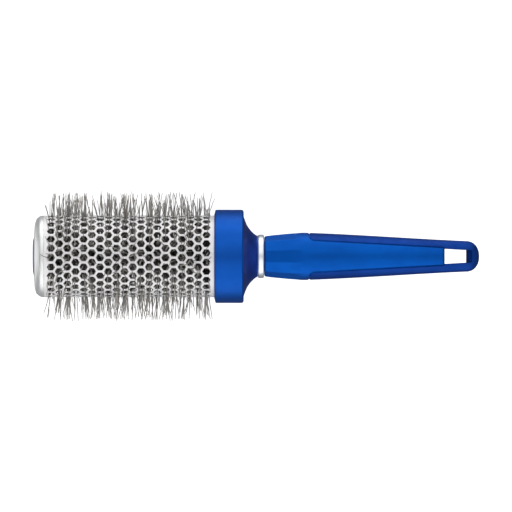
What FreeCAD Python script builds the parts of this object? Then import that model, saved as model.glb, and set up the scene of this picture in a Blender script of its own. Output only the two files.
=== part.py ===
"""Vented round hairbrush, built as separate named pieces.

X runs along the brush from the flat of the end button to the tail of the handle, and Z points out of
the handle's front panel. All sizes are in millimetres.
"""
import FreeCAD, Part
import math
import os
import Sketcher
from FreeCAD import Placement, Rotation, Vector

os.makedirs("parts", exist_ok=True)
doc = FreeCAD.newDocument("RoundBrush")

# ---------------------------------------------------------------- driving dimensions
SIZES = {
    # barrel and its holes
    "barrel_radius": 22.5,
    "barrel_inner": 22.0,
    "barrel_start": 6.2,
    "barrel_end": 108.0,
    "first_ring": 10.37,
    "ring_pitch": 4.483,
    "hole_corner_radius": 2.165,
    "hole_tool_low": 18.5,
    "hole_tool_height": 6.0,
    # end button
    "button_face_x": 0.0,
    "button_flat_radius": 8.3,
    "button_slope_x": 0.55,
    "button_slope_radius": 10.9,
    "button_edge_x": 1.0,
    "button_radius": 11.25,
    "button_back_x": 2.4,
    "button_stem_radius": 5.0,
    "button_stem_x": 3.8,
    # end cap
    "cap_face_x": 0.75,
    "cap_recess_radius": 11.4,
    "cap_rim_x": 0.98,
    "cap_edge_fillet": 4.4,
    "cap_recess_x": 2.5,
    "cap_stem_radius": 5.05,
    "cap_stem_x": 3.9,
    "cap_wire_x": 4.6,
    "cap_wire_radius": 2.5,
    "cap_hub_x": 8.8,
    "cap_hub_radius": 6.5,
    "cap_plate_x": 6.0,
    "cap_lip_inner": 20.9,
    "cap_lip_outer": 21.95,
    "cap_lip_x": 7.2,
    # collar
    "collar_start": 99.7,
    "collar_end": 115.95,
    "collar_radius": 25.67,
    "collar_bore": 22.55,
    "collar_step_x": 108.05,
    "collar_small_bore": 21.95,
    "collar_front_fillet": 1.0,
    "collar_back_fillet": 1.4,
    # neck
    "neck_start": 100.5,
    "neck_radius": 21.9,
    "neck_cavity_radius": 19.8,
    "neck_cavity_x": 110.0,
    "neck_cone_x": 118.5,
    "neck_cone_radius": 7.0,
    "neck_bore": 3.6,
    "neck_socket_x": 121.0,
    "neck_socket_radius": 8.1,
    "neck_end": 123.5,
    "neck_end_radius": 11.4,
    "neck_bell_arc": 16.3,
    # silver ring
    "ring_end": 127.1,
    "ring_radius": 12.0,
    "ring_bore": 8.1,
    "ring_fillet": 1.1,
    # handle front
    "spigot_start": 121.1,
    "spigot_radius": 8.0,
    "front_x": 127.2,
    "front_edge_radius": 9.9,
    "front_edge_x": 127.9,
    "front_round_radius": 10.85,
    "front_round_x": 131.0,
    "facet_start_radius": 11.35,
    "facet_full_x": 134.0,
    "facet_full_radius": 12.3,
    "facet_last_x": 146.5,
    "facet_last_radius": 13.8,
    "front_end": 150.0,
    "front_end_radius": 13.05,
    "facet_corner_small": 11.38,
    "facet_corner_large": 13.51,
    "stem_hole_radius": 3.55,
    "stem_hole_end": 149.7,
    # handle panel and grooves
    "panel_root_x": 148.0,
    "panel_root_half": 16.0,
    "grip_start": 151.6,
    "panel_corner_half": 10.2,
    "panel_round_x": 152.2,
    "panel_round_half": 9.2,
    "panel_start_x": 153.5,
    "panel_start_half": 8.7,
    "panel_end_x": 226.6,
    "panel_end_half": 4.28,
    "panel_corner_half_wide": 10.9,
    "panel_round_half_wide": 9.9,
    "panel_start_half_wide": 9.4,
    "panel_end_half_wide": 4.98,
    "groove_depth": 0.7,
    "grip_skin": 2.5,
    # hang hole
    "hole_start_x": 226.6,
    "hole_start_half": 4.1,
    "hole_end_x": 241.4,
    "hole_end_half": 3.25,
    "hole_reach": 15.0,
    "tail_bar_x": 242.4,
    "tail_bar_radius": 4.2,
    # core wires and sleeve
    "wire_radius": 1.1,
    "wire_helix_radius": 1.25,
    "wire_pitch": 22.5,
    "wire_start": 4.7,
    "wire_length": 143.0,
    "sleeve_start": 115.5,
    "sleeve_length": 34.0,
    "sleeve_radius": 3.5,
    "sleeve_bore": 2.4,
    # bristle tufts
    "tuft_root": 2.6,
    "tuft_length": 32.4,
    "tuft_root_radius": 0.25,
    "tuft_tip_radius": 0.55,
}

# X, half width in Y and half depth in Z of the oval handle
HANDLE_STATIONS = [
    (148.0, 12.95, 12.8),
    (154.0, 12.9, 12.5),
    (159.0, 12.76, 12.1),
    (169.0, 12.21, 11.1),
    (182.0, 11.66, 9.9),
    (192.0, 10.95, 9.1),
    (202.0, 10.34, 8.3),
    (215.0, 9.63, 7.3),
    (228.3, 8.97, 6.5),
    (236.0, 8.52, 5.8),
    (240.2, 8.05, 5.3),
    (242.6, 7.1, 4.7),
    (244.2, 5.1, 3.6),
    (245.1, 3.0, 2.3),
    (245.5, 1.2, 1.0),
]

RING_COUNT = 20
HOLES_PER_RING = 27
HOLE_PHASE = 1.8
FACET_COUNT = 12

sheet = doc.addObject("Spreadsheet::Sheet", "Sizes")


def put_size(row, alias, value):
    """Write one named number into the sheet."""
    sheet.set(f"A{row}", alias)
    sheet.set(f"B{row}", str(value))
    sheet.setAlias(f"B{row}", alias)


for row, (alias, value) in enumerate(SIZES.items(), start=1):
    put_size(row, alias, value)
for index, (x, half_width, half_depth) in enumerate(HANDLE_STATIONS):
    row = len(SIZES) + 1 + 3 * index
    put_size(row, f"station_x_{index}", x)
    put_size(row + 1, f"station_width_{index}", half_width)
    put_size(row + 2, f"station_depth_{index}", half_depth)
doc.recompute()

ALONG_X = Rotation(Vector(0, 1, 0), 90)
ACROSS_X = Rotation(Vector(1, 1, 1), 120)


# ---------------------------------------------------------------- helpers
def origin_feature(body, role):
    """A plane or axis of the body's own origin."""
    return next(f for f in body.Origin.OriginFeatures if f.Role == role)


def bind(item, **expressions):
    """Bind properties to the sheet; a double underscore stands for a dot."""
    for name, expression in expressions.items():
        item.setExpression(name.replace("__", "."), expression)


def outline_sketch(body, name, corners, arcs=None):
    """A closed outline on the body's XY plane; each corner is an (X alias, Y alias, sign) triple.

    A corner on the brush's axis has the Y alias "axis". arcs maps an edge's number to the alias of its
    radius, and that edge then turns left on its way round.
    """
    arcs = arcs or {}
    sketch = body.newObject("Sketcher::SketchObject", name)
    sketch.AttachmentSupport = [(origin_feature(body, "XY_Plane"), "")]
    sketch.MapMode = "FlatFace"
    points = [Vector(SIZES.get(x, 0), sign * SIZES.get(y, 0), 0) for x, y, sign in corners]
    count = len(points)
    for i in range(count):
        start = points[i]
        end = points[(i + 1) % count]
        if i in arcs:
            sketch.addGeometry(left_arc(start, end, SIZES[arcs[i]]), False)
        else:
            sketch.addGeometry(Part.LineSegment(start, end), False)
    for i in range(count):
        sketch.addConstraint(Sketcher.Constraint("Coincident", i, 2, (i + 1) % count, 1))
    for i, (x_alias, y_alias, sign) in enumerate(corners):
        if x_alias in SIZES:
            pin_point(sketch, i, "DistanceX", f"x_{i}", points[i].x, f"Sizes.{x_alias}")
        if y_alias in SIZES:
            direction = "" if sign > 0 else "-"
            pin_point(sketch, i, "DistanceY", f"y_{i}", points[i].y, f"{direction}Sizes.{y_alias}")
        else:
            sketch.addConstraint(Sketcher.Constraint("PointOnObject", i, 1, -1))
    for i, alias in arcs.items():
        number = sketch.addConstraint(Sketcher.Constraint("Radius", i, SIZES[alias]))
        sketch.renameConstraint(number, f"arc_{i}")
        sketch.setExpression(f"Constraints.arc_{i}", f"Sizes.{alias}")
    return sketch


def pin_point(sketch, edge, kind, name, value, expression):
    """Fix one coordinate of an edge's first point, measured from the origin."""
    number = sketch.addConstraint(Sketcher.Constraint(kind, -1, 1, edge, 1, value))
    sketch.renameConstraint(number, name)
    sketch.setExpression(f"Constraints.{name}", expression)


def left_arc(start, end, radius):
    """The short arc that turns left from start to end."""
    chord = end - start
    half = chord.Length / 2
    across = Vector(-chord.y, chord.x, 0).normalize()
    centre = (start + end) * 0.5 + across * math.sqrt(radius * radius - half * half)
    middle = centre - across * radius
    return Part.Arc(start, middle, end)


def turned_body(label, corners, arcs=None):
    """A body turned about the brush's axis from its half outline."""
    body = doc.addObject("PartDesign::Body", label)
    sketch = outline_sketch(body, f"{label}_outline", corners, arcs)
    turn = body.newObject("PartDesign::Revolution", f"{label}_turned")
    turn.Profile = sketch
    turn.ReferenceAxis = (origin_feature(body, "X_Axis"), [""])
    turn.Angle = 360
    body.Tip = turn
    doc.recompute()
    return body


def round_edges(body, alias, wanted):
    """Round the circular edges that lie at the wanted (x, radius) places."""
    tip = body.Tip
    names = []
    for number, edge in enumerate(tip.Shape.Edges, start=1):
        curve = edge.Curve
        if not isinstance(curve, Part.Circle):
            continue
        for x, radius in wanted:
            if abs(curve.Center.x - x) < 0.01 and abs(curve.Radius - radius) < 0.01:
                names.append(f"Edge{number}")
    fillet = body.newObject("PartDesign::Fillet", f"{body.Label}_{alias}")
    fillet.Base = (tip, names)
    bind(fillet, Radius=f"Sizes.{alias}")
    body.Tip = fillet
    doc.recompute()


def positive(*pairs):
    """Half outline corners above the axis."""
    return [(x, y, 1) for x, y in pairs]


def extruded_outline(label, corners):
    """A prism of an XY outline, through the whole depth of the handle."""
    body = doc.addObject("PartDesign::Body", label)
    sketch = outline_sketch(body, f"{label}_outline", corners)
    pad = body.newObject("PartDesign::Pad", f"{label}_prism")
    pad.Profile = sketch
    pad.Midplane = True
    bind(pad, Length="2 * Sizes.hole_reach")
    body.Tip = pad
    doc.recompute()
    return body


def handle_loft(label, first, last, inset_alias=None):
    """An oval loft through the handle's stations, made smaller all round by a named inset."""
    less = f" - Sizes.{inset_alias}" if inset_alias else ""
    ovals = []
    for index in range(first, last + 1):
        oval = doc.addObject("Part::Ellipse", f"{label}_oval_{index}")
        oval.Placement = Placement(Vector(0, 0, 0), ACROSS_X)
        bind(
            oval,
            MajorRadius=f"Sizes.station_width_{index}{less}",
            MinorRadius=f"Sizes.station_depth_{index}{less}",
            Placement__Base__x=f"Sizes.station_x_{index}",
        )
        ovals.append(oval)
    loft = doc.addObject("Part::Loft", label)
    loft.Sections = ovals
    loft.Solid = True
    loft.Ruled = False
    doc.recompute()
    return loft


def cut(label, base, tool):
    """Base less tool."""
    result = doc.addObject("Part::Cut", label)
    result.Base = base
    result.Tool = tool
    doc.recompute()
    return result


def joined(label, *pieces):
    """One solid of several."""
    result = doc.addObject("Part::MultiFuse", label)
    result.Shapes = list(pieces)
    doc.recompute()
    return result


def shared(label, *pieces):
    """What several solids have in common."""
    result = doc.addObject("Part::MultiCommon", label)
    result.Shapes = list(pieces)
    doc.recompute()
    return result


def x_cylinder(label, start, length, radius):
    """A cylinder along the brush's axis, from sheet expressions."""
    result = doc.addObject("Part::Cylinder", label)
    result.Placement = Placement(Vector(0, 0, 0), ALONG_X)
    bind(result, Placement__Base__x=start, Height=length, Radius=radius)
    doc.recompute()
    return result


def hole_angle(ring, hole):
    """Angle of a hole about X; odd rings are turned by half a hole."""
    return HOLE_PHASE + (hole + 0.5 * (ring % 2)) * 360.0 / HOLES_PER_RING


# ---------------------------------------------------------------- turned pieces
end_button = turned_body(
    "end_button",
    positive(
        ("button_face_x", "axis"),
        ("button_face_x", "button_flat_radius"),
        ("button_slope_x", "button_slope_radius"),
        ("button_edge_x", "button_radius"),
        ("button_back_x", "button_radius"),
        ("button_back_x", "button_stem_radius"),
        ("button_stem_x", "button_stem_radius"),
        ("button_stem_x", "axis"),
    ),
)

end_cap = turned_body(
    "end_cap",
    positive(
        ("cap_stem_x", "axis"),
        ("cap_stem_x", "cap_stem_radius"),
        ("cap_recess_x", "cap_stem_radius"),
        ("cap_recess_x", "cap_recess_radius"),
        ("cap_face_x", "cap_recess_radius"),
        ("cap_rim_x", "barrel_radius"),
        ("barrel_start", "barrel_radius"),
        ("barrel_start", "cap_lip_outer"),
        ("cap_lip_x", "cap_lip_outer"),
        ("cap_lip_x", "cap_lip_inner"),
        ("cap_plate_x", "cap_lip_inner"),
        ("cap_plate_x", "cap_hub_radius"),
        ("cap_hub_x", "cap_hub_radius"),
        ("cap_hub_x", "cap_wire_radius"),
        ("cap_wire_x", "cap_wire_radius"),
        ("cap_wire_x", "axis"),
    ),
)
round_edges(end_cap, "cap_edge_fillet", [(SIZES["cap_rim_x"], SIZES["barrel_radius"])])

collar = turned_body(
    "collar",
    positive(
        ("collar_start", "collar_bore"),
        ("collar_start", "collar_radius"),
        ("collar_end", "collar_radius"),
        ("collar_end", "collar_small_bore"),
        ("collar_step_x", "collar_small_bore"),
        ("collar_step_x", "collar_bore"),
    ),
)
round_edges(collar, "collar_front_fillet", [(SIZES["collar_start"], SIZES["collar_radius"])])
round_edges(collar, "collar_back_fillet", [(SIZES["collar_end"], SIZES["collar_radius"])])

neck = turned_body(
    "neck",
    positive(
        ("neck_start", "neck_cavity_radius"),
        ("neck_start", "neck_radius"),
        ("collar_end", "neck_radius"),
        ("neck_end", "neck_end_radius"),
        ("neck_end", "neck_socket_radius"),
        ("neck_socket_x", "neck_socket_radius"),
        ("neck_socket_x", "neck_bore"),
        ("neck_cone_x", "neck_bore"),
        ("neck_cone_x", "neck_cone_radius"),
        ("neck_cavity_x", "neck_cavity_radius"),
    ),
    arcs={2: "neck_bell_arc"},
)

ferrule_ring = turned_body(
    "ferrule_ring",
    positive(
        ("neck_end", "ring_bore"),
        ("neck_end", "ring_radius"),
        ("ring_end", "ring_radius"),
        ("ring_end", "ring_bore"),
    ),
)
round_edges(
    ferrule_ring,
    "ring_fillet",
    [(SIZES["neck_end"], SIZES["ring_radius"]), (SIZES["ring_end"], SIZES["ring_radius"])],
)

stem_sleeve = cut(
    "stem_sleeve",
    x_cylinder("sleeve_outside", "Sizes.sleeve_start", "Sizes.sleeve_length", "Sizes.sleeve_radius"),
    x_cylinder("sleeve_inside", "Sizes.sleeve_start", "Sizes.sleeve_length", "Sizes.sleeve_bore"),
)

# ---------------------------------------------------------------- barrel with its hexagonal holes
barrel_tube = cut(
    "barrel_tube",
    x_cylinder(
        "barrel_outside", "Sizes.barrel_start", "Sizes.barrel_end - Sizes.barrel_start", "Sizes.barrel_radius"
    ),
    x_cylinder(
        "barrel_inside", "Sizes.barrel_start", "Sizes.barrel_end - Sizes.barrel_start", "Sizes.barrel_inner"
    ),
)

hole_tool = doc.addObject("Part::Prism", "hole_tool")
hole_tool.Polygon = 6
bind(
    hole_tool,
    Circumradius="Sizes.hole_corner_radius",
    Height="Sizes.hole_tool_height",
    Placement__Base__x="Sizes.first_ring",
    Placement__Base__z="Sizes.hole_tool_low",
)
doc.recompute()


def ring_copies(template, ring):
    """Copies of a piece that stands on the Z axis at the first ring, one at each hole of a ring."""
    copies = []
    for hole in range(HOLES_PER_RING):
        turned = Rotation(Vector(1, 0, 0), hole_angle(ring, hole))
        shifted = Vector(ring * SIZES["ring_pitch"], 0, 0)
        copy = template.Shape.copy()
        copy.Placement = Placement(shifted, turned).multiply(copy.Placement)
        copies.append(copy)
    return copies


perforation = doc.addObject("Part::Feature", "perforation")
perforation.Shape = Part.makeCompound(
    [copy for ring in range(RING_COUNT) for copy in ring_copies(hole_tool, ring)]
)
barrel = cut("barrel", barrel_tube, perforation)

# ---------------------------------------------------------------- twisted core wires
wire_helix = doc.addObject("Part::Helix", "wire_helix")
wire_helix.Placement = Placement(Vector(0, 0, 0), ALONG_X)
bind(
    wire_helix,
    Pitch="Sizes.wire_pitch",
    Height="Sizes.wire_length",
    Radius="Sizes.wire_helix_radius",
    Placement__Base__x="Sizes.wire_start",
)
lead = math.degrees(
    math.atan(2 * math.pi * SIZES["wire_helix_radius"] / SIZES["wire_pitch"])
)
wire_section = doc.addObject("Part::Circle", "wire_section")
wire_section.Placement = Placement(
    Vector(0, 0, 0), Rotation(Vector(0, 0, 1), lead).multiply(ALONG_X)
)
bind(
    wire_section,
    Radius="Sizes.wire_radius",
    Placement__Base__x="Sizes.wire_start",
    Placement__Base__z="-Sizes.wire_helix_radius",
)
doc.recompute()

core_wire_a = doc.addObject("Part::Sweep", "core_wire_a")
core_wire_a.Sections = [wire_section]
core_wire_a.Spine = (wire_helix, [f"Edge{n}" for n in range(1, len(wire_helix.Shape.Edges) + 1)])
core_wire_a.Solid = True
core_wire_a.Frenet = True
doc.recompute()

core_wire_b = doc.addObject("Part::Feature", "core_wire_b")
core_wire_b.Shape = core_wire_a.Shape
core_wire_b.Placement = Placement(Vector(0, 0, 0), Rotation(Vector(1, 0, 0), 180))

# ---------------------------------------------------------------- bristle tufts, one at each hole
tuft = doc.addObject("Part::Cone", "tuft")
bind(
    tuft,
    Radius1="Sizes.tuft_root_radius",
    Radius2="Sizes.tuft_tip_radius",
    Height="Sizes.tuft_length",
    Placement__Base__x="Sizes.first_ring",
    Placement__Base__z="Sizes.tuft_root",
)
doc.recompute()

bristle_rings = []
for ring in range(RING_COUNT):
    bristle_ring = doc.addObject("Part::Feature", f"bristle_ring_{ring + 1:02d}")
    bristle_ring.Shape = Part.makeCompound(ring_copies(tuft, ring))
    bristle_rings.append(bristle_ring)

# ---------------------------------------------------------------- handle
handle_oval = handle_loft("handle_oval", 0, len(HANDLE_STATIONS) - 1)
groove_floor = handle_loft("groove_floor", 0, 9, "groove_depth")
core_inside = handle_loft("core_inside", 0, 7, "grip_skin")


def panel_corners(more=""):
    """The panel's outline seen from the front: full width ahead of the grip, then the tapered panel."""
    upper = [
        ("panel_root_x", "panel_root_half"),
        ("grip_start", "panel_root_half"),
        ("grip_start", f"panel_corner_half{more}"),
        ("panel_round_x", f"panel_round_half{more}"),
        ("panel_start_x", f"panel_start_half{more}"),
        ("panel_end_x", f"panel_end_half{more}"),
    ]
    return [(x, y, 1) for x, y in upper] + [(x, y, -1) for x, y in reversed(upper)]


panel_prism = extruded_outline("panel_prism", panel_corners())
groove_prism = extruded_outline("groove_prism", panel_corners("_wide"))

# the hang hole narrows towards the tail, and its tail wall is the front of a round bar
hang_prism = extruded_outline(
    "hang_prism",
    [
        ("hole_start_x", "hole_start_half", 1),
        ("hole_end_x", "hole_end_half", 1),
        ("hole_end_x", "hole_end_half", -1),
        ("hole_start_x", "hole_start_half", -1),
    ],
)
tail_bar = doc.addObject("Part::Cylinder", "tail_bar")
tail_bar.Placement = Placement(Vector(0, 0, 0), Rotation(Vector(1, 0, 0), -90))
bind(
    tail_bar,
    Radius="Sizes.tail_bar_radius",
    Height="2 * Sizes.hole_reach",
    Placement__Base__x="Sizes.tail_bar_x",
    Placement__Base__y="-Sizes.hole_reach",
)
doc.recompute()
hang_hole = cut("hang_hole", hang_prism, tail_bar)

front_turned = turned_body(
    "front_turned",
    positive(
        ("front_x", "axis"),
        ("front_x", "front_edge_radius"),
        ("front_edge_x", "front_round_radius"),
        ("front_round_x", "facet_start_radius"),
        ("facet_full_x", "facet_full_radius"),
        ("facet_last_x", "facet_last_radius"),
        ("front_end", "front_end_radius"),
        ("front_end", "axis"),
    ),
)


def facet_section(label, x_alias, corner_alias):
    """A regular polygon round the axis, with one side facing +Z."""
    section = doc.addObject("Part::RegularPolygon", label)
    section.Polygon = FACET_COUNT
    half_side = Rotation(Vector(1, 0, 0), 180.0 / FACET_COUNT)
    section.Placement = Placement(Vector(0, 0, 0), half_side.multiply(ACROSS_X))
    bind(section, Circumradius=f"Sizes.{corner_alias}", Placement__Base__x=f"Sizes.{x_alias}")
    return section


facet_loft = doc.addObject("Part::Loft", "facet_loft")
facet_loft.Sections = [
    facet_section("facet_small", "front_x", "facet_corner_small"),
    facet_section("facet_large", "front_end", "facet_corner_large"),
]
facet_loft.Solid = True
facet_loft.Ruled = True
doc.recompute()

handle_front = shared("handle_front", front_turned, facet_loft)
spigot = x_cylinder(
    "spigot", "Sizes.spigot_start", "Sizes.front_end - Sizes.spigot_start", "Sizes.spigot_radius"
)
stem_hole = x_cylinder(
    "stem_hole",
    "Sizes.spigot_start",
    "Sizes.stem_hole_end - Sizes.spigot_start",
    "Sizes.stem_hole_radius",
)
panel = shared("panel", handle_oval, panel_prism)
core_whole = joined("core_whole", handle_front, spigot, panel, core_inside)
handle_core = cut("handle_core", core_whole, stem_hole)

grip_limit = doc.addObject("Part::Box", "grip_limit")
bind(
    grip_limit,
    Length="2 * Sizes.panel_root_x",
    Width="4 * Sizes.hole_reach",
    Height="4 * Sizes.hole_reach",
    Placement__Base__x="Sizes.grip_start",
    Placement__Base__y="-2 * Sizes.hole_reach",
    Placement__Base__z="-2 * Sizes.hole_reach",
)
doc.recompute()
grip_outside = shared("grip_outside", handle_oval, grip_limit)
groove_band = cut("groove_band", groove_prism, groove_floor)
grip_tools = joined("grip_tools", panel_prism, core_inside, groove_band, hang_hole)
handle_grip = cut("handle_grip", grip_outside, grip_tools)

# ---------------------------------------------------------------- hand-over
NODES = [
    end_button,
    end_cap,
    barrel,
    core_wire_a,
    core_wire_b,
    *bristle_rings,
    collar,
    neck,
    ferrule_ring,
    stem_sleeve,
    handle_core,
    handle_grip,
]

doc.recompute()
for item in doc.Objects:
    if "Invalid" in item.State or "Error" in item.State:
        raise RuntimeError(f"{item.Label} didn't compute: {item.State}")
for node in NODES:
    shape = node.Shape
    if shape.isNull() or not shape.isValid() or not shape.Solids:
        raise RuntimeError(f"{node.Label} has no valid solid")
    shape.exportStep(f"parts/{node.Label}.step")
    print(f"{node.Label}: {len(shape.Solids)} solid(s), {shape.Volume:.1f} mm3")
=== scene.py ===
"""Vented round hairbrush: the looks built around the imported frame.

Shapes are worked out in millimetres and stored in metres. X runs from the tip of the brush to the
tail of the handle, Z points out of the handle's front panel.
"""
import math

import bpy
import numpy as np
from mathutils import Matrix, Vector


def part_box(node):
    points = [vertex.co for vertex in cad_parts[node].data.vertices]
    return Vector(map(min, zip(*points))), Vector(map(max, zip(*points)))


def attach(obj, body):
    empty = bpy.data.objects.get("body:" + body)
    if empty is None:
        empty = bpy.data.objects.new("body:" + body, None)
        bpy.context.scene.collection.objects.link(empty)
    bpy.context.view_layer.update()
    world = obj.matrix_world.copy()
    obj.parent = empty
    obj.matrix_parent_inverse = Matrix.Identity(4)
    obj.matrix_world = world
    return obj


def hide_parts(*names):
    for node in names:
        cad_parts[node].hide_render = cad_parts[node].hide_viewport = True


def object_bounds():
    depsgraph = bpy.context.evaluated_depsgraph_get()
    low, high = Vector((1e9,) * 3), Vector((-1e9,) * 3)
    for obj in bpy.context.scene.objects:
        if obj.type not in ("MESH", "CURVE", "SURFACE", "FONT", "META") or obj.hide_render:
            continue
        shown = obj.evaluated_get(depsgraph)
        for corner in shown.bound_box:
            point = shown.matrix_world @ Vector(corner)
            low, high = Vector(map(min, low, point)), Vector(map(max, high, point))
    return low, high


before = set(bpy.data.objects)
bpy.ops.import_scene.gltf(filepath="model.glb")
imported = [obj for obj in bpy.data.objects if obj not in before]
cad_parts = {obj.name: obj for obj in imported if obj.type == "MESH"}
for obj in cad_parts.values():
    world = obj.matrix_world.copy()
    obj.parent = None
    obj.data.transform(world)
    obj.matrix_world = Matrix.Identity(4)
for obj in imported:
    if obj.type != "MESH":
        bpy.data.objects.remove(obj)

cad_low, cad_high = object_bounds()
MM = 0.001
SEED = 45
rng = np.random.default_rng(SEED)


def box_mm(node):
    """Lowest and highest corner of a CAD node, in millimetres."""
    low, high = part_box(node)
    return np.array(low) / MM, np.array(high) / MM


# ---------------------------------------------------------------- mesh making
def grid_quads(rows, columns):
    """Corner numbers of the quads of a grid whose last column meets its first."""
    r, c = np.meshgrid(np.arange(rows - 1), np.arange(columns), indexing="ij")
    right = (c + 1) % columns
    quads = [r * columns + c, r * columns + right, (r + 1) * columns + right, (r + 1) * columns + c]
    return np.stack(quads, -1).reshape(-1, 4)


def welded(points, quads, kinds):
    """Points in the same place become one, and a quad that loses a corner becomes a triangle."""
    rounded = np.round(points, 4)
    _, first, place = np.unique(rounded, axis=0, return_index=True, return_inverse=True)
    quads = place.reshape(-1)[quads]
    lost = quads == np.roll(quads, -1, axis=1)
    lost_count = lost.sum(1)
    whole = lost_count == 0
    pinched = lost_count == 1
    triangles = quads[pinched][~lost[pinched]].reshape(-1, 3)
    kinds = np.concatenate([kinds[whole], kinds[pinched]])
    return points[first], quads[whole], triangles, kinds


def signed_volume(points, quads, triangles):
    """Sum of the tetrahedra from the origin to each face: positive when faces point outwards."""
    fans = np.concatenate([quads[:, [0, 1, 2]], quads[:, [0, 2, 3]], triangles])
    a, b, c = points[fans[:, 0]], points[fans[:, 1]], points[fans[:, 2]]
    return np.einsum("ij,ij->i", a, np.cross(b, c)).sum() / 6


def add_piece(name, points, quads, finishes, nodes, kinds=None):
    """A closed piece from points in millimetres; kinds picks each face's finish."""
    kinds = np.zeros(len(quads), int) if kinds is None else kinds
    points, quads, triangles, kinds = welded(points, quads, kinds)
    if signed_volume(points, quads, triangles) < 0:
        quads, triangles = quads[:, ::-1], triangles[:, ::-1]
    mesh = bpy.data.meshes.new(name)
    mesh.from_pydata(points * MM, [], quads.tolist() + triangles.tolist())
    for finish in finishes:
        mesh.materials.append(finish)
    mesh.polygons.foreach_set("material_index", kinds.astype(np.int32))
    mesh.polygons.foreach_set("use_smooth", np.ones(len(mesh.polygons), bool))
    mesh.update()
    return put_in_frame(name, mesh, nodes)


def put_in_frame(name, mesh, nodes):
    """The object for a mesh, riding on the brush and standing for its CAD nodes."""
    piece = bpy.data.objects.new(name, mesh)
    bpy.context.scene.collection.objects.link(piece)
    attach(piece, "root")
    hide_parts(*nodes)
    return piece


LEAD = 0.12


def rounded_outline(corners, closed, steps=7):
    """Corners (x, r, fillet) joined by straight runs, each corner turned on an arc of its fillet.

    A short way (LEAD) either side of each arc there is one more point, which keeps flat runs flat.
    """
    pins = np.array([corner[:2] for corner in corners], float)
    count = len(corners)
    outline = []
    for i, (x, r, fillet) in enumerate(corners):
        here = pins[i]
        ahead = pins[(i + 1) % count] - here
        behind = pins[i - 1] - here
        if not closed and i in (0, count - 1) or fillet <= 0:
            outline.append(here[None])
            continue
        to_next = ahead / np.linalg.norm(ahead)
        to_last = behind / np.linalg.norm(behind)
        half = math.acos(np.clip(to_next @ to_last, -1, 1)) / 2
        reach = fillet / math.tan(half)
        middle = to_next + to_last
        centre = here + middle / np.linalg.norm(middle) * fillet / math.sin(half)
        start = here + to_last * reach - centre
        end = here + to_next * reach - centre
        sweep = math.pi - 2 * half
        t = np.linspace(0, 1, steps + 1)[:, None]
        arc = centre + (start * np.sin((1 - t) * sweep) + end * np.sin(t * sweep)) / math.sin(sweep)
        lead = min(LEAD, 0.25 * reach)
        before, after = here + to_last * (reach + lead), here + to_next * (reach + lead)
        outline += [before[None], arc, after[None]]
    outline = np.concatenate(outline)
    return np.concatenate([outline, outline[:1]]) if closed else outline


def turned(name, outline, finish, node, steps=180):
    """The outline (x, r) swept about the X axis: (x, -r sin a, r cos a)."""
    a = np.linspace(0, 2 * math.pi, steps, endpoint=False)
    x, r = outline[:, :1], outline[:, 1:]
    points = np.stack([x + 0 * a, -r * np.sin(a), r * np.cos(a)], -1).reshape(-1, 3)
    return add_piece(name, points, grid_quads(len(outline), steps), [finish], [node])


# ---------------------------------------------------------------- finishes
def new_finish(name, **sockets):
    """A material whose Principled shader has these fixed values; a double underscore is a space."""
    finish = bpy.data.materials.new(name)
    finish.use_nodes = True
    shader = finish.node_tree.nodes["Principled BSDF"]
    for socket, value in sockets.items():
        shader.inputs[socket.replace("__", " ")].default_value = value
    return finish, finish.node_tree, shader


def noise(tree, scale, detail=2.0, stretch=(1, 1, 1)):
    """Noise on Object coordinates, scale in repeats per metre."""
    place = tree.nodes.new("ShaderNodeTexCoord")
    mapping = tree.nodes.new("ShaderNodeMapping")
    mapping.inputs["Scale"].default_value = stretch
    texture = tree.nodes.new("ShaderNodeTexNoise")
    texture.inputs["Scale"].default_value = scale
    texture.inputs["Detail"].default_value = detail
    tree.links.new(place.outputs["Object"], mapping.inputs["Vector"])
    tree.links.new(mapping.outputs["Vector"], texture.inputs["Vector"])
    return texture.outputs["Fac"]


def ramp(tree, source, stops):
    """A colour ramp over a value; stops are (position, colour)."""
    node = tree.nodes.new("ShaderNodeValToRGB")
    elements = node.color_ramp.elements
    elements[0].position, elements[0].color = stops[0][0], (*stops[0][1], 1)
    elements[1].position, elements[1].color = stops[-1][0], (*stops[-1][1], 1)
    for position, colour in stops[1:-1]:
        elements.new(position).color = (*colour, 1)
    tree.links.new(source, node.inputs["Fac"])
    return node.outputs["Color"]


def spread(tree, source, low, high):
    """A value from 0.35..0.65, where noise mostly lies, spread over low..high."""
    node = tree.nodes.new("ShaderNodeMapRange")
    node.inputs["From Min"].default_value = 0.35
    node.inputs["From Max"].default_value = 0.65
    node.inputs["To Min"].default_value = low
    node.inputs["To Max"].default_value = high
    tree.links.new(source, node.inputs["Value"])
    return node.outputs["Result"]


def bump(tree, shader, height, depth, strength):
    """Small relief from a height value; depth in metres."""
    node = tree.nodes.new("ShaderNodeBump")
    node.inputs["Strength"].default_value = strength
    node.inputs["Distance"].default_value = depth
    tree.links.new(height, node.inputs["Height"])
    tree.links.new(node.outputs["Normal"], shader.inputs["Normal"])


def moulded(name, dark, light, rough, grain=1800.0, relief=0.00002, **sockets):
    """Moulded or painted surface: slow colour drift, uneven gloss and a fine skin texture."""
    finish, tree, shader = new_finish(name, **sockets)
    drift = noise(tree, 45.0, 3.0)
    colour = ramp(tree, drift, [(0.35, dark), (0.65, light)])
    tree.links.new(colour, shader.inputs["Base Color"])
    gloss = noise(tree, 160.0, 4.0)
    tree.links.new(spread(tree, gloss, *rough), shader.inputs["Roughness"])
    bump(tree, shader, noise(tree, grain, 2.0), relief, 0.35)
    return finish


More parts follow.
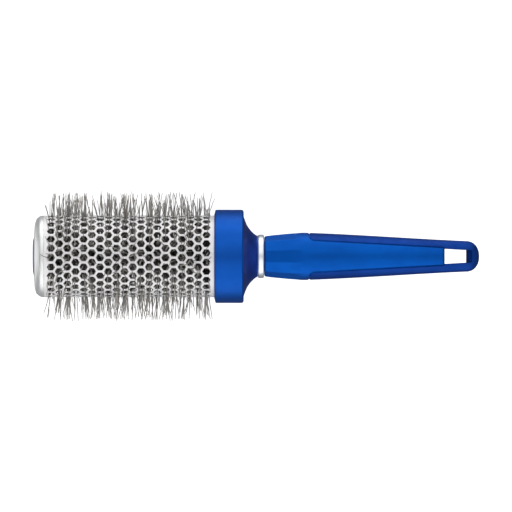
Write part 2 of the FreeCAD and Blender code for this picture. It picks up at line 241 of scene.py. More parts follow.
coated_metal = moulded(
    "coated_metal",
    (0.93, 0.92, 0.92),
    (0.98, 0.97, 0.97),
    (0.38, 0.48),
    Metallic=0.2,
    Coat__Weight=0.15,
)
# Painted shade: the sheet's inner face is made near black for the shade inside the barrel.
barrel_inside = moulded("barrel_inside", (0.012, 0.011, 0.012), (0.022, 0.02, 0.021), (0.55, 0.7))
silver_cap = moulded(
    "silver_cap",
    (0.86, 0.87, 0.86),
    (0.91, 0.92, 0.91),
    (0.4, 0.48),
    grain=3500.0,
    Metallic=0.8,
)
button_blue = moulded(
    "button_blue", (0.012, 0.018, 0.12), (0.02, 0.028, 0.17), (0.25, 0.32), Coat__Weight=0.3
)
collar_blue = moulded(
    "collar_blue", (0.001, 0.08, 0.42), (0.003, 0.09, 0.46), (0.42, 0.48), Metallic=0.85
)
# Painted shade: the neck is the collar's blue made darker, for the shade on the bell as it turns
# away from the light.
neck_shaded_blue = moulded(
    "neck_shaded_blue", (0.003, 0.04, 0.31), (0.005, 0.05, 0.35), (0.4, 0.46), Metallic=0.7
)
silver_ring = moulded(
    "silver_ring",
    (0.82, 0.86, 0.9),
    (0.88, 0.92, 0.96),
    (0.36, 0.42),
    relief=0.000005,
    Metallic=0.9,
)
handle_blue = moulded(
    "handle_blue", (0.0, 0.088, 0.44), (0.0, 0.1, 0.49), (0.46, 0.54), Metallic=0.9
)
# Painted shade: the grip is the handle's blue made darker, for the shade on the handle's sides as
# they turn away from the light.
grip_shaded_blue = moulded(
    "grip_shaded_blue",
    (0.002, 0.044, 0.28),
    (0.003, 0.052, 0.32),
    (0.5, 0.6),
    grain=2600.0,
    relief=0.00004,
    Metallic=0.85,
)


def drawn_wire():
    """Drawn steel wire: streaks along its length."""
    finish, tree, shader = new_finish("drawn_wire", Metallic=0.9)
    streaks = noise(tree, 900.0, 3.0, (0.05, 1, 1))
    colour = ramp(tree, streaks, [(0.35, (0.28, 0.28, 0.29)), (0.65, (0.5, 0.5, 0.51))])
    tree.links.new(colour, shader.inputs["Base Color"])
    tree.links.new(spread(tree, streaks, 0.25, 0.45), shader.inputs["Roughness"])
    return finish


def turned_brass():
    """Turned brass: rings across its length."""
    finish, tree, shader = new_finish("turned_brass", Metallic=0.95)
    rings = noise(tree, 1500.0, 2.0, (1, 0.05, 0.05))
    colour = ramp(tree, rings, [(0.35, (0.5, 0.36, 0.14)), (0.65, (0.66, 0.5, 0.22))])
    tree.links.new(colour, shader.inputs["Base Color"])
    tree.links.new(spread(tree, rings, 0.22, 0.4), shader.inputs["Roughness"])
    return finish


def nylon_filament():
    """Grey-brown nylon: own tone per filament (U); V paints shade at the root and light at the tip.
    """
    finish, tree, shader = new_finish("nylon_filament", Roughness=0.38, Specular__IOR__Level=0.45)
    along = tree.nodes.new("ShaderNodeUVMap")
    along.uv_map = "along"
    split = tree.nodes.new("ShaderNodeSeparateXYZ")
    tree.links.new(along.outputs["UV"], split.inputs["Vector"])
    shades = [(0.0, (0.2, 0.19, 0.175)), (0.55, (0.41, 0.39, 0.365)), (1.0, (0.67, 0.65, 0.62))]
    own = ramp(tree, split.outputs["X"], shades)
    # Painted shade and light along V: half the colour at the sheet and inside the barrel, 0.9 a
    # little way out, 1.25 at the tip.
    painted_light_stops = [(0.0, (0.5, 0.5, 0.5)), (0.12, (0.9, 0.9, 0.9)), (1.0, (1.25, 1.23, 1.2))]
    painted_light = ramp(tree, split.outputs["Y"], painted_light_stops)
    mix = tree.nodes.new("ShaderNodeMix")
    mix.data_type = "RGBA"
    mix.blend_type = "MULTIPLY"
    mix.inputs["Factor"].default_value = 1.0
    tree.links.new(own, mix.inputs[6])
    tree.links.new(painted_light, mix.inputs[7])
    tree.links.new(mix.outputs[2], shader.inputs["Base Color"])
    return finish


for node in ("core_wire_a", "core_wire_b"):
    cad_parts[node].material_slots[0].material = drawn_wire()
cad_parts["stem_sleeve"].material_slots[0].material = turned_brass()

# ---------------------------------------------------------------- barrel
HOLES = 27
RING_NODES = [f"bristle_ring_{n:02d}" for n in range(1, 21)]
ring_x = np.array([sum(box_mm(node))[0] / 2 for node in RING_NODES])
ring_pitch = (ring_x[-1] - ring_x[0]) / (len(ring_x) - 1)
barrel_low, barrel_high = box_mm("barrel")
barrel_radius = barrel_high[1]
SHEET = 0.5
HOLE_CORNER = 2.26
HOLE_PHASE = 1.8
RIM_LEAN = 0.12
CORNER_EASE = 0.98
END_EASE = 0.15


def sector_loop(corners, lean):
    """A closed hexagon, three points to a side: its corner, then points lean and 1 - lean along."""
    onward = np.roll(corners, -1, axis=0) - corners
    side = corners[:, None] + onward[:, None] * np.array([0.0, lean, 1 - lean])[None, :, None]
    return side.reshape(-1, 2)


def honeycomb_barrel():
    """A sheet rolled into a tube and pierced by hexagonal holes.

    Each hole owns the hexagon of sheet nearer to it than to any other hole. Loops of points run
    from that hexagon's edge to the hole's rounded rim, down the hole's wall and back along the
    inner face, and (x, around) is rolled to (x, -r sin(around / R), r cos(around / R)).
    """
    across = 2 * math.pi * barrel_radius / HOLES
    long_reach = (ring_pitch**2 + across**2 / 4) / (2 * ring_pitch)
    short_reach = ring_pitch - long_reach
    half = across / 2
    own = np.array(
        [
            (long_reach, 0),
            (short_reach, half),
            (-short_reach, half),
            (-long_reach, 0),
            (-short_reach, -half),
            (short_reach, -half),
        ]
    )
    turn = np.radians(60 * np.arange(6))
    hexagon = HOLE_CORNER * np.stack([np.cos(turn), np.sin(turn)], -1)
    cell = sector_loop(own, 1 / 3)
    rim = sector_loop(hexagon, RIM_LEAN)
    rim[::3] *= CORNER_EASE
    loops = np.stack([cell, rim * 1.085, rim * 1.02, rim, rim, cell])
    inner = barrel_radius - SHEET
    depths = barrel_radius - np.array([0, 0, END_EASE / 3, END_EASE, SHEET, SHEET])
    rings = np.arange(len(ring_x))
    centre = (np.arange(HOLES)[None] + 0.5 * (rings[:, None] % 2)) * across
    x = ring_x[:, None, None, None] + loops[None, None, :, :, 0]
    around = centre[:, :, None, None] + loops[None, None, :, :, 1]
    x, around = np.broadcast_arrays(x, around)
    radius = np.broadcast_to(depths[None, None, :, None], x.shape)
    cells = np.stack([x, around, radius], -1)
    ring_of_quads = grid_quads(len(loops), loops.shape[1])
    start = np.arange(len(ring_x) * HOLES)[:, None, None] * (loops.shape[0] * loops.shape[1])
    quads = (start + ring_of_quads[None]).reshape(-1, 4)
    band = np.repeat(np.arange(len(loops) - 1), loops.shape[1])
    # The inner face takes the second finish, the near-black painted shade.
    kinds = np.tile((band == len(loops) - 2).astype(int), len(ring_x) * HOLES)
    points = cells.reshape(-1, 3)
    near_side = [12, 11, 10, 9, 8, 7]
    far_side = [15, 16, 17, 0, 1, 2]
    ends = (
        (cells[0][:, 0, near_side], cells[0][:, 5, near_side], barrel_low[0]),
        (cells[-1][:, 0, far_side], cells[-1][:, 5, far_side], barrel_high[0]),
    )
    for outside, inside, end in ends:
        outside, inside = outside.reshape(-1, 3), inside.reshape(-1, 3)
        away = np.sign(end - outside[0, 0])
        edge = [
            (end - 0.25 * away, barrel_radius),
            (end, barrel_radius - END_EASE),
            (end, inner + 0.1),
        ]
        rows = [outside, moved(outside, 0.5, end), *(at(outside, *place) for place in edge)]
        rows += [at(outside, end - 0.2 * away, inner), inside]
        band_points = np.stack(rows)
        band_quads = grid_quads(len(rows), band_points.shape[1])
        band_quads = band_quads[:, ::-1] if away > 0 else band_quads
        quads = np.concatenate([quads, band_quads + len(points)])
        points = np.concatenate([points, band_points.reshape(-1, 3)])
        kinds = np.concatenate([kinds, np.repeat([0, 0, 0, 0, 0, 1], band_points.shape[1])])
    angle = points[:, 1] / barrel_radius + math.radians(HOLE_PHASE)
    x, _, r = points.T
    rolled = np.stack([x, -r * np.sin(angle), r * np.cos(angle)], -1)
    return add_piece(
        "barrel_shell", rolled, quads, [coated_metal, barrel_inside], ["barrel"], kinds
    )


def moved(row, share, end):
    """A row of sheet points moved part of the way to an end of the barrel."""
    result = row.copy()
    result[:, 0] += (end - result[:, 0]) * share
    return result


def at(row, x, radius):
    """A row of sheet points all at one x and one radius."""
    result = row.copy()
    result[:, 0] = x
    result[:, 2] = radius
    return result


honeycomb_barrel()

# ---------------------------------------------------------------- turned pieces
BUTTON_STEM = 5.0
CAP_STEM = 5.05
CAP_LIP = 21.95
COLLAR_BORE = 22.55
COLLAR_SMALL_BORE = 21.95
COLLAR_STEP = 108.05
SOCKET = 8.1
button_edge = box_mm("end_button")[1][1]
turned(
    "button_disc",
    rounded_outline(
        [
            (0.0, 0.0, 0),
            (0.0, 8.3, 2.0),
            (0.5, 10.7, 0.5),
            (1.0, button_edge, 0.3),
            (2.4, button_edge, 0.1),
            (2.4, BUTTON_STEM, 0.1),
            (3.8, BUTTON_STEM, 0.2),
            (3.8, 0.0, 0),
        ],
        closed=False,
    ),
    button_blue,
    "end_button",
)
turned(
    "cap_shell",
    rounded_outline(
        [
            (3.9, 0.0, 0),
            (3.9, CAP_STEM, 0.1),
            (2.5, CAP_STEM, 0.1),
            (2.5, 11.4, 0.1),
            (0.72, 11.5, 0.15),
            (0.95, 17.6, 6.0),
            (1.9, 20.6, 2.2),
            (4.2, 22.35, 3.0),
            (barrel_low[0], barrel_radius, 0.06),
            (barrel_low[0], CAP_LIP, 0.05),
            (7.2, CAP_LIP, 0.1),
            (7.2, 20.9, 0.1),
            (6.0, 20.9, 0.2),
            (6.0, 6.5, 0.2),
            (8.8, 6.5, 0.2),
            (8.8, 2.5, 0.1),
            (4.6, 2.5, 0.1),
            (4.6, 0.0, 0),
        ],
        closed=False,
        steps=9,
    ),
    silver_cap,
    "end_cap",
)
collar_low, collar_high = box_mm("collar")
turned(
    "collar_ring",
    rounded_outline(
        [
            (collar_low[0], COLLAR_BORE, 0.15),
            (collar_low[0] + 0.05, 23.0, 0.2),
            (collar_low[0] + 0.75, collar_high[1], 0.6),
            (collar_high[0], collar_high[1], 1.3),
            (collar_high[0], COLLAR_SMALL_BORE, 0.1),
            (COLLAR_STEP, COLLAR_SMALL_BORE, 0.1),
            (COLLAR_STEP, COLLAR_BORE, 0.1),
        ],
        closed=True,
    ),
    collar_blue,
    "collar",
)


def bell_outline():
    """The neck's hollow bell: a smoothed curve outside, a plug, a cone and a socket inside."""
    bell = np.array(
        [
            (115.95, 21.85),
            (116.2, 21.1),
            (116.65, 20.0),
            (117.2, 18.4),
            (117.8, 17.1),
            (118.4, 16.1),
            (119.5, 14.6),
            (120.6, 13.4),
            (121.8, 12.3),
            (122.6, 11.75),
            (123.3, 11.4),
        ]
    )
    step = np.linspace(0, len(bell) - 1, 41)
    smooth = np.stack([np.interp(step, np.arange(len(bell)), bell[:, k]) for k in (0, 1)], -1)
    for _ in range(12):
        smooth[1:-1] = (smooth[:-2] + 2 * smooth[1:-1] + smooth[2:]) / 4
    rest = rounded_outline(
        [
            (123.5, 11.3, 0.1),
            (123.5, SOCKET, 0.1),
            (121.0, SOCKET, 0.1),
            (121.0, 3.6, 0.1),
            (118.5, 3.6, 0.1),
            (118.5, 7.0, 0.2),
            (110.0, 19.8, 0.5),
            (100.5, 19.8, 0.1),
            (100.5, 21.9, 0.1),
            (115.8, 21.9, 0.05),
        ],
        closed=False,
    )
    return np.concatenate([smooth, rest, smooth[:1]])


turned("neck_bell", bell_outline(), neck_shaded_blue, "neck")
ring_low, ring_high = box_mm("ferrule_ring")
turned(
    "ferrule_band",
    rounded_outline(
        [
            (ring_low[0] + 0.02, SOCKET, 0.1),
            (ring_low[0] + 0.02, ring_high[1] - 0.15, 1.1),
            ((ring_low[0] + ring_high[0]) / 2, ring_high[1] + 0.02, 2.5),
            (ring_high[0], ring_high[1] - 0.15, 0.7),
            (ring_high[0], SOCKET, 0.1),
        ],
        closed=True,
    ),
    silver_ring,
    "ferrule_ring",
)

# ---------------------------------------------------------------- handle
TAIL_CENTRE = 238.2
TAIL_REACH = box_mm("handle_grip")[1][0] - TAIL_CENTRE
TAIL_POWER = 2.2
HOLE_POWER = 8
SHOULDER = 151.6
MIDDLE = 190
OVAL_X = np.array([148, 159, 169, 182, 192, 202, 215, 228.3, 238.2])
OVAL_WIDTHS = np.array([13.05, 12.76, 12.21, 11.58, 10.95, 10.34, 9.63, 8.97, 8.42])
OVAL_DEPTHS = np.array([12.95, 12.1, 11.1, 9.9, 9.1, 8.3, 7.3, 6.4, 5.7])
width_cubic = np.polyfit(OVAL_X - MIDDLE, OVAL_WIDTHS, 3)
depth_cubic = np.polyfit(OVAL_X - MIDDLE, OVAL_DEPTHS, 3)


def tail_fade(x):
    """1 along the handle, then (1 - t^p)^(1/p) to nothing at the tail's end."""
    t = np.clip((x - TAIL_CENTRE) / TAIL_REACH, 0, 1)
    return (1 - t**TAIL_POWER) ** (1 / TAIL_POWER)


def half_width(x):
    """Half the oval's width in Y: a cubic along the handle, rounded off at the tail."""
    return np.polyval(width_cubic, np.minimum(x, TAIL_CENTRE) - MIDDLE) * tail_fade(x)


def half_depth(x):
    """Half the oval's depth in Z, made the same way."""
    return np.polyval(depth_cubic, np.minimum(x, TAIL_CENTRE) - MIDDLE) * tail_fade(x)


def oval_height(x, y):
    """Z of the oval handle's front above (x, y): depth * sqrt(1 - (y / width)^2)."""
    width = np.maximum(half_width(x), 1e-6)
    return half_depth(x) * np.sqrt(np.clip(1 - (y / width) ** 2, 0, 1))


PANEL_START = 154.7
PANEL_END = 226.3
PANEL_HALVES = [8.2, 4.3]
PANEL_SINE = math.sin(math.radians(60))
CORNER = half_width(SHOULDER) * PANEL_SINE - PANEL_HALVES[0]
NOTCH = 0.38
GROOVE = 0.75


def panel_edge(x):
    """Half width of the centre panel: a straight taper, opened on an arc at the shoulder."""
    line = np.interp(x, [PANEL_START, PANEL_END], PANEL_HALVES)
    t = np.clip((PANEL_START - x) / CORNER, 0, 1)
    return line + CORNER * (1 - np.sqrt(1 - t * t))


def handle_core():
    """The hard core, a loop of 240 points carried along X.

    Ahead of the shoulder a point is r (sin a, cos a), with r from facet_row's twelve flats. Behind
    it the front and back runs lie on the oval within the panel's edges, and the side runs drop into
    the groove and down the core's flank.
    """
    front_share = np.linspace(0, 1, 80, endpoint=False)
    side_share = np.linspace(0, 1, 40, endpoint=False)
    front, side = 120 * front_share, 60 * side_share
    angle = np.radians(np.concatenate([-60 + front, 60 + side, 120 + front, 240 + side]))
    rows = [facet_row(x, angle) for x in facet_stations()]
    rows += [flank_row(x, front_share, side_share) for x in panel_stations()]
    closing = rows[-1].copy()
    closing[:, 0] = PANEL_END + 0.12
    closing[:, 1:] *= np.array([0.93, 0.8])
    end = closing.copy()
    end[:, 1:] = 0
    lead_in = [(150, 0), (150, 3.55), (121.1, 3.55), (121.1, 7.8), (121.3, 8.0), (127.15, 8.0)]
    start = [ring_row(x, r, angle) for x, r in lead_in]
    points = np.concatenate([*start, *rows, closing, end])
    quads = grid_quads(len(start) + len(rows) + 2, len(angle))
    return add_piece("handle_body", points, quads, [handle_blue], ["handle_core"])


def ring_row(x, radius, angle):
    """A round row of the core."""
    return np.stack([np.full_like(angle, x), radius * np.sin(angle), radius * np.cos(angle)], -1)


def facet_stations():
    """X of the rows from the handle's front to its shoulder, closer where the surface turns."""
    return np.concatenate(
        [
            127.2 + 0.9 * (1 - np.cos(np.linspace(0, math.pi / 2, 7))),
            np.linspace(128.4, 134, 15),
            np.linspace(134.6, 146, 20),
            np.linspace(146.4, 150.9, 14),
            [151.15, 151.25, 151.35, 151.45, 151.53, 151.58, SHOULDER],
        ]
    )


FACET_X = [127.2, 130, 133, 140, 147, 150, 151.6]
APOTHEMS = [11.0, 11.4, 11.75, 12.42, 12.93, 13.04, 13.03]
RIDGE_X = [127.2, 128.2, 131, 143, 150.5]
RIDGES = [0.55, 0.8, 1.0, 1.0, 0.0]


def facet_row(x, angle):
    """A row of the twelve-sided front: apothem * (1 + k (1 / cos(off) - 1)).

    off is measured from the nearest flat. k opens the edges out behind the ring and closes them
    before the shoulder, where the row becomes the oval and its sides step down by NOTCH.
    """
    apothem = np.interp(x, FACET_X, APOTHEMS)
    ridge = np.interp(x, RIDGE_X, RIDGES)
    edge = 1.0 - math.sqrt(1.0 - min(max(128.2 - x, 0), 1.0) ** 2)
    flat = math.radians(30)
    off = np.abs((angle + flat / 2) % flat - flat / 2)
    radius = apothem * (1 + ridge * (1 / np.cos(off) - 1)) - edge
    y, z = radius * np.sin(angle), radius * np.cos(angle)
    blend = np.clip((x - 145.0) / 6.0, 0, 1)
    blend = blend * blend * (3 - 2 * blend)
    reach = NOTCH * (1 - math.sqrt(1 - np.clip((x - SHOULDER + 0.45) / 0.45, 0, 1) ** 2))
    away = np.clip((np.abs(np.sin(angle)) - PANEL_SINE) / 0.05, 0, 1) * reach
    y = y + (half_width(x) * np.sin(angle) - y) * blend - away * np.sin(angle)
    z = z + (half_depth(x) * np.cos(angle) - z) * blend - away * np.cos(angle)
    return np.stack([np.full_like(angle, x), y, z], -1)


def panel_stations():
    """X of the rows from the shoulder to the hang hole."""
    return np.concatenate(
        [
            SHOULDER + np.linspace(0, 1, 28) ** 1.7 * (PANEL_START - SHOULDER),
            np.linspace(155.5, 224.4, 60),
            224.8 + 1.5 * np.sin(np.linspace(0, math.pi / 2, 9)),
        ]
    )


def flank_row(x, front_share, side_share):
    """A row of the panel part: the crowned panel, its rounded edge, the groove and the flank.

    In the gap ahead of the grip the flank is the oval, NOTCH lower. Behind it the flank is a
    narrow wall.
    """
    drop = 0.8 * (1 - math.sqrt(1 - min(max((x - 224.8) / 1.5, 0), 1) ** 2))
    edge = float(panel_edge(x))
    width, depth = float(half_width(x)), float(half_depth(x))
    reach = math.asin(min(edge / width, 1.0))
    a = -reach + 2 * reach * front_share
    panel_y = width * np.sin(a)
    panel_z = depth * np.cos(a) - drop
    if x < SHOULDER + GROOVE + 0.15:
        a = reach + (math.pi - 2 * reach) * side_share
        fall = NOTCH * np.minimum(1, 12 * np.minimum(side_share, 1 - side_share))
        side_y = (width - fall) * np.sin(a)
        side_z = (depth - fall) * np.cos(a)
    else:
        top = depth * math.cos(reach) - drop
        share = [0, 0.04, 0.08, 0.13, 0.2, 0.26, 0.74, 0.8, 0.87, 0.92, 0.96, 1]
        out = [0, 0.1, 0.17, 0.2, 0.24, 1.05, 1.05, 0.24, 0.2, 0.17, 0.1, 0]
        level = top - np.array([0, 0.05, 0.16, 0.45, 1, 1.1])
        side_y = edge + np.interp(side_share, share, out)
        side_z = np.interp(side_share, share, np.concatenate([level, -level[::-1]]))
    y = np.concatenate([panel_y, side_y, -panel_y, -side_y])
    z = np.concatenate([panel_z, side_z, -panel_z, -side_z])
    return np.stack([np.full_like(y, x), y, z], -1)


HOLE_START = 226.6
HOLE_END = 241.4


def grip_shell():
    """The soft grip: a closed cross-section carried along a U round the panel and the hang hole.

    At each station it spans from an inner line (groove or hole) to the handle's outline. Its skin
    is the oval's height above both, rolled over on a quarter circle at the inner line, and its
    inner face is a wall. Round the tail the wall is the side of a bar, set back by
    b sqrt(1 - (z / top)^2).
    """
    arm_x = np.concatenate(
        [
            SHOULDER + GROOVE + np.array([0, 0.08, 0.25, 0.5, 0.8, 1.2, 1.6, 2.0, 2.4]),
            np.linspace(155, 224, 60),
            np.linspace(224.5, 227.5, 13),
            np.linspace(228.5, TAIL_CENTRE - 0.4, 12),
        ]
    )
    arm_in = np.stack([arm_x, inner_line(arm_x)], -1)
    arm_out = np.stack([arm_x, half_width(arm_x)], -1)
    turn = np.linspace(math.pi / 2, -math.pi / 2, 73)
    round_out = superellipse(turn, TAIL_REACH, half_width(TAIL_CENTRE), TAIL_POWER)
    round_in = superellipse(turn, HOLE_END - TAIL_CENTRE, inner_line(TAIL_CENTRE), HOLE_POWER)
    mirror = np.array([1, -1])
    inside = np.concatenate([arm_in, round_in, arm_in[::-1] * mirror])
    outside = np.concatenate([arm_out, round_out, arm_out[::-1] * mirror])
    across = outside - inside
    length = np.linalg.norm(across, axis=1, keepdims=True)
    roll = np.radians([15, 40, 65])
    lip = 0.32 + 0.35 * np.clip((inside[:, :1] - 225) / 2, 0, 1)
    run = np.sin(np.linspace(0, math.pi / 2, 25))
    reach = np.concatenate([lip * (1 - np.cos(roll)), lip + (length - lip) * run], 1)
    sink = np.concatenate([lip * (1 - np.sin(roll)), 0 * length * run], 1)
    xy = inside[:, None] + across[:, None] * (reach / length)[..., None]
    z = np.maximum(oval_height(xy[..., 0], xy[..., 1]) - sink, 0)
    front = np.concatenate([xy, z[..., None]], -1)
    back = front[:, ::-1] * np.array([1, 1, -1])
    down = np.linspace(-1, 1, 15)
    top = oval_height(inside[:, :1], inside[:, 1:]) - lip
    bar = np.clip((inside[:, :1] - TAIL_CENTRE) / (HOLE_END - TAIL_CENTRE), 0, 1)
    set_back = bar * (HOLE_END - TAIL_CENTRE - 0.05) * np.sqrt(1 - down**2)
    wall = np.stack([inside[:, :1] - set_back, inside[:, 1:] + 0 * set_back, top * down], -1)
    rows = np.concatenate([front, back, wall], 1)
    middle = rows.mean(1, keepdims=True)
    for row, share in ((0, 0.7), (1, 0.9), (-2, 0.9), (-1, 0.7)):
        squeeze = np.array([1, share, 1 - 0.25 * (1 - share)])
        rows[row] = middle[row] + (rows[row] - middle[row]) * squeeze
    rows = np.concatenate([middle[:1] + 0 * rows[:1], rows, middle[-1:] + 0 * rows[:1]])
    quads = grid_quads(len(rows), rows.shape[1])
    return add_piece("grip_shell", rows.reshape(-1, 3), quads, [grip_shaded_blue], ["handle_grip"])


def inner_line(x):
    """Y of the grip's inner edge: the panel's edge and the groove, then the hang hole's side."""
    t = np.clip((PANEL_START - x) / (CORNER - GROOVE), 0, 1)
    groove_side = np.interp(x, [PANEL_START, PANEL_END], PANEL_HALVES) + GROOVE
    groove_side = groove_side + (CORNER - GROOVE) * (1 - np.sqrt(1 - t * t))
    hole_side = np.interp(x, [HOLE_START, HOLE_END], [4.1, 3.25])
    near = np.clip((x - 225.2) / 1.4, 0, 1)
    near = near * near * (3 - 2 * near)
    return groove_side + (hole_side - groove_side) * near


def superellipse(turn, reach, half, power):
    """Points reach * |cos|^(2/p), half * |sin|^(2/p) round the tail's centre."""
    x = TAIL_CENTRE + reach * np.abs(np.cos(turn)) ** (2 / power)
    y = half * np.sign(np.sin(turn)) * np.abs(np.sin(turn)) ** (2 / power)
    return np.stack([x, y], -1)


handle_core()
grip_shell()

# ---------------------------------------------------------------- bristles
THROUGH = 1180
HELD_BACK = 1300
BENT_UNDER = 760
WIRE_PITCH = 22.5
WIRE_REACH = 1.3
TIP_RADIUS = box_mm("bristle_ring_01")[1][2]
HOLE_STEP = 2 * math.pi / HOLES
SPOT_REACH = 1.75
FAN = math.radians(48)
SHORT_SHARE = 0.3
LEAN_SPREAD = 1.25
SIDE_SPREAD = 1.7
THICKNESS = 0.26
INSIDE_X = (9.2, 99)


def roots(count):
    """Where filaments leave the twisted wires: X and angle 2 pi x / pitch, on either side."""
    x = rng.uniform(ring_x[0] - 1.5, ring_x[-1] + 1.5, count)
    return x, 2 * math.pi * x / WIRE_PITCH + math.pi * rng.integers(0, 2, count)


def nearest_ring(x):
    """Number of the ring of holes nearest to each X."""
    return np.clip(np.rint((x - ring_x[0]) / ring_pitch), 0, len(ring_x) - 1).astype(int)


def through_filaments():
    """Filaments that pass through a hole.

    Each fans out from its root by some tens of degrees, runs straight to a spot in the nearest hole
    and on to its tip, leaning as (r - R)^1.15 and waving as A sin(2 pi r / 6 + phase).
    """
    root_x, root_angle = roots(THROUGH)
    ring = nearest_ring(root_x + rng.normal(0, 1.6, THROUGH))
    shift = 0.5 * (ring % 2)
    hole = np.rint((root_angle + rng.normal(0, FAN, THROUGH)) / HOLE_STEP - shift)
    spot = SPOT_REACH * np.sqrt(rng.uniform(0, 1, THROUGH))
    spot_turn = rng.uniform(0, 2 * math.pi, THROUGH)
    gate_x = ring_x[ring] + spot * np.cos(spot_turn)
    gate_angle = (hole + shift) * HOLE_STEP + math.radians(HOLE_PHASE)
    gate_angle = gate_angle + spot * np.sin(spot_turn) / barrel_radius
    tip = TIP_RADIUS - 0.1 + rng.normal(0, 0.4, THROUGH)
    tip = tip - (rng.uniform(0, 1, THROUGH) < SHORT_SHARE) * rng.uniform(1, 9.5, THROUGH)
    tip = np.minimum(tip, TIP_RADIUS + 0.8)
    r_in = np.tile(np.array([WIRE_REACH, 12.0, barrel_radius]), (THROUGH, 1))
    r_out = barrel_radius + (tip - barrel_radius)[:, None] * np.linspace(0, 1, 10)[1:]
    r = np.concatenate([r_in, r_out], 1)
    inner = np.clip((r - WIRE_REACH) / (barrel_radius - WIRE_REACH), 0, 1)
    outer = np.clip((r - barrel_radius) / (TIP_RADIUS - barrel_radius), 0, None)
    wrap = (gate_angle - root_angle + math.pi) % (2 * math.pi) - math.pi
    angle = root_angle[:, None] + wrap[:, None] * inner**0.7
    wave = rng.uniform(0.03, 0.16, THROUGH)[:, None] * np.clip(outer * 4, 0, 1)
    wave = wave * np.sin(2 * math.pi * r / 6 + rng.uniform(0, 2 * math.pi, THROUGH)[:, None])
    wave_turn = rng.uniform(0, 2 * math.pi, THROUGH)[:, None]
    lean = outer**1.15
    lean_x = (gate_x - root_x) * 0.45 + rng.normal(0, LEAN_SPREAD, THROUGH)
    x = root_x[:, None] + (gate_x - root_x)[:, None] * inner + lean_x[:, None] * lean
    side = rng.normal(0, SIDE_SPREAD, THROUGH)[:, None] * lean
    return x + wave * np.cos(wave_turn), angle, r, side + wave * np.sin(wave_turn), ring


def held_back_filaments():
    """Shorter filaments that stay inside the barrel: the angle turns away as r^0.5 and X as r^2."""
    root_x, root_angle = roots(HELD_BACK)
    end = rng.uniform(11, barrel_radius - SHEET - 1.5, HELD_BACK)
    r = WIRE_REACH + (end - WIRE_REACH)[:, None] * np.linspace(0, 1, 5)
    out = (r - WIRE_REACH) / barrel_radius
    angle = root_angle[:, None] + rng.normal(0, math.radians(50), HELD_BACK)[:, None] * out**0.5
    x = root_x[:, None] + rng.normal(0, 3.0, HELD_BACK)[:, None] * out**2
    return np.clip(x, *INSIDE_X), angle, r, 0 * r, nearest_ring(root_x)


def bent_filaments():
    """Filaments caught under the sheet: straight out at first, then bent to lie along its inside.

    r rises as sin(t pi / 2) to just under the sheet, while x and the angle turn away with t^3.
    """
    root_x, root_angle = roots(BENT_UNDER)
    t = np.linspace(0, 1, 9)
    top = barrel_radius - SHEET - rng.uniform(0.25, 0.8, BENT_UNDER)
    r = WIRE_REACH + (top - WIRE_REACH)[:, None] * np.sin(t * math.pi / 2)
    heading = rng.uniform(0, 2 * math.pi, BENT_UNDER)[:, None]
    lie = rng.uniform(6, 14, BENT_UNDER)[:, None] * t**3
    fan = rng.normal(0, math.radians(45), BENT_UNDER)[:, None]
    angle = root_angle[:, None] + fan * np.minimum(t * 1.5, 1) ** 0.5
    angle = angle + lie * np.sin(heading) / top[:, None]
    x = np.clip(root_x[:, None] + lie * np.cos(heading), *INSIDE_X)
    return x, angle, r, 0 * r, nearest_ring(root_x)


def three_sided_tubes(x, angle, r, side):
    """Corners of a three-sided tube round each centre line, a quarter thinner at its tip."""
    thick = THICKNESS * (1 - 0.25 * np.linspace(0, 1, x.shape[1]) ** 3)
    corner = np.radians([90, 210, 330])
    along_x = x[..., None] + thick[:, None] * np.cos(corner)
    across = side[..., None] + thick[:, None] * np.sin(corner)
    sin, cos = np.sin(angle)[..., None], np.cos(angle)[..., None]
    y = -r[..., None] * sin - across * cos
    z = r[..., None] * cos - across * sin
    return np.stack([along_x, y, z], -1)


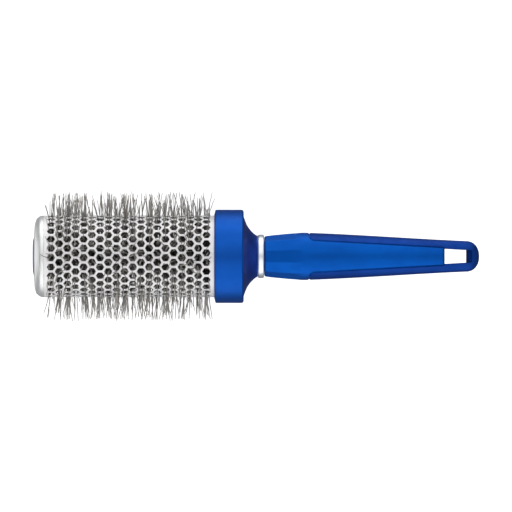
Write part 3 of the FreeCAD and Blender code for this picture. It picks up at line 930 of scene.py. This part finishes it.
def filament_pieces():
    """One piece per ring of holes: its tubes with closed ends, each with its own shade in U.

    V sets the painted shade and light: 0 at the sheet, 1 at the tip, and 0 to 1 along a bent
    filament.
    """
    finish = nylon_filament()
    groups = []
    kinds = ((through_filaments(), 0.0), (held_back_filaments(), 0.0), (bent_filaments(), 1.0))
    for lines, painted_light_share in kinds:
        r, ring = lines[2], lines[4]
        shade = rng.beta(2.2, 2.6, len(r))[:, None] + 0 * r
        reach = np.clip((r - barrel_radius) / (TIP_RADIUS - barrel_radius), 0, 1)
        # Painted light on bent filaments: their V rises to 1 along them, so they show paler where
        # they lie under the sheet.
        reach = reach + painted_light_share * np.linspace(0, 1, r.shape[1]) ** 2
        groups.append((three_sided_tubes(*lines[:4]), np.stack([shade, reach], -1), ring))
    for number, node in enumerate(RING_NODES):
        corners, quads, triangles, spots, used = [], [], [], [], 0
        for points, spot, ring in groups:
            mine = np.flatnonzero(ring == number)
            stations = points.shape[1]
            start = used + np.arange(len(mine))[:, None] * (stations * 3)
            quads.append((start[..., None] + grid_quads(stations, 3)).reshape(-1, 4))
            triangles.append(start + np.array([2, 1, 0]))
            triangles.append(start + (stations - 1) * 3 + np.array([0, 1, 2]))
            corners.append(points[mine].reshape(-1, 3))
            spots.append(np.repeat(spot[mine].reshape(-1, 2), 3, axis=0))
            used += len(corners[-1])
        corners, spots = np.concatenate(corners), np.concatenate(spots)
        quads, triangles = np.concatenate(quads), np.concatenate(triangles)
        if signed_volume(corners, quads, triangles) < 0:
            quads, triangles = quads[:, ::-1], triangles[:, ::-1]
        mesh = bpy.data.meshes.new(node.replace("bristle_ring", "filaments"))
        mesh.from_pydata(corners * MM, [], quads.tolist() + triangles.tolist())
        mesh.materials.append(finish)
        mesh.polygons.foreach_set("use_smooth", np.ones(len(mesh.polygons), bool))
        order = np.zeros(len(mesh.loops), np.int32)
        mesh.loops.foreach_get("vertex_index", order)
        layer = mesh.uv_layers.new(name="along")
        layer.data.foreach_set("uv", spots[order].reshape(-1))
        mesh.update()
        put_in_frame(mesh.name, mesh, [node])


filament_pieces()

# ---------------------------------------------------------------- floor, light and camera
FLOOR_Z = cad_low.z - 0.0012
FLOOR_HALF = 4.0
CENTRE = (0.1227, 0.0002)
CAMERA_DISTANCE = 4.5
FIELD = 0.2817
SENSOR = 36


def pale_floor():
    """A plain pale sheet under the brush, kept out of its reflections."""
    finish, tree, shader = new_finish("pale_floor", Roughness=0.9)
    shader.inputs["Base Color"].default_value = (0.8, 0.8, 0.8, 1)
    shader.inputs["Emission Color"].default_value = (1, 1, 1, 1)
    shader.inputs["Emission Strength"].default_value = 0.75
    corners = np.array([(-1, -1, 0), (1, -1, 0), (1, 1, 0), (-1, 1, 0)]) * FLOOR_HALF
    corners = corners + np.array([0, 0, FLOOR_Z])
    mesh = bpy.data.meshes.new("floor")
    mesh.from_pydata(corners, [], [(0, 1, 2, 3)])
    mesh.materials.append(finish)
    floor = bpy.data.objects.new("floor", mesh)
    floor.visible_glossy = False
    floor.visible_diffuse = False
    floor.visible_shadow = False
    bpy.context.scene.collection.objects.link(floor)


def soft_box(name, lean, turn, distance, length, height, radiance):
    """A soft box that faces the middle of the brush, leant from overhead by lean towards turn."""
    lean, turn = math.radians(lean), math.radians(turn)
    light = bpy.data.lights.new(name, "AREA")
    light.shape = "RECTANGLE"
    light.size, light.size_y = height, length
    light.energy = radiance * math.pi * length * height
    lamp = bpy.data.objects.new(name, light)
    out = math.sin(lean)
    away = np.array([out * math.cos(turn), out * math.sin(turn), math.cos(lean)])
    lamp.location = np.array([*CENTRE, 0]) + away * distance
    lamp.rotation_euler = (0, lean, turn)
    lamp.visible_camera = False
    bpy.context.scene.collection.objects.link(lamp)


pale_floor()
soft_box("over_box_far", 31, 90, 2.0, 2.4, 1.6, 1.22)
soft_box("over_box_near", 31, -90, 2.0, 2.4, 1.6, 1.22)
soft_box("side_box_far", 88, 90, 1.6, 2.4, 1.7, 1.55)
soft_box("side_box_near", 79, -90, 1.6, 2.4, 1.4, 1.4)
soft_box("end_box_tip", 102, 180, 1.8, 1.6, 2.2, 1.15)
soft_box("end_box_tail", 80, 0, 1.8, 1.4, 1.2, 0.7)

world = bpy.data.worlds.new("studio")
world.use_nodes = True
backdrop = world.node_tree.nodes["Background"]
backdrop.inputs["Color"].default_value = (0.9, 0.93, 1.0, 1)
backdrop.inputs["Strength"].default_value = 0.14
bpy.context.scene.world = world
bpy.context.scene.view_settings.view_transform = "Standard"

camera_data = bpy.data.cameras.new("camera")
camera_data.sensor_width = SENSOR
camera_data.lens = SENSOR * CAMERA_DISTANCE / FIELD
camera_data.clip_end = 100
camera = bpy.data.objects.new("camera", camera_data)
camera.location = (*CENTRE, CAMERA_DISTANCE)
bpy.context.scene.collection.objects.link(camera)
bpy.context.scene.camera = camera
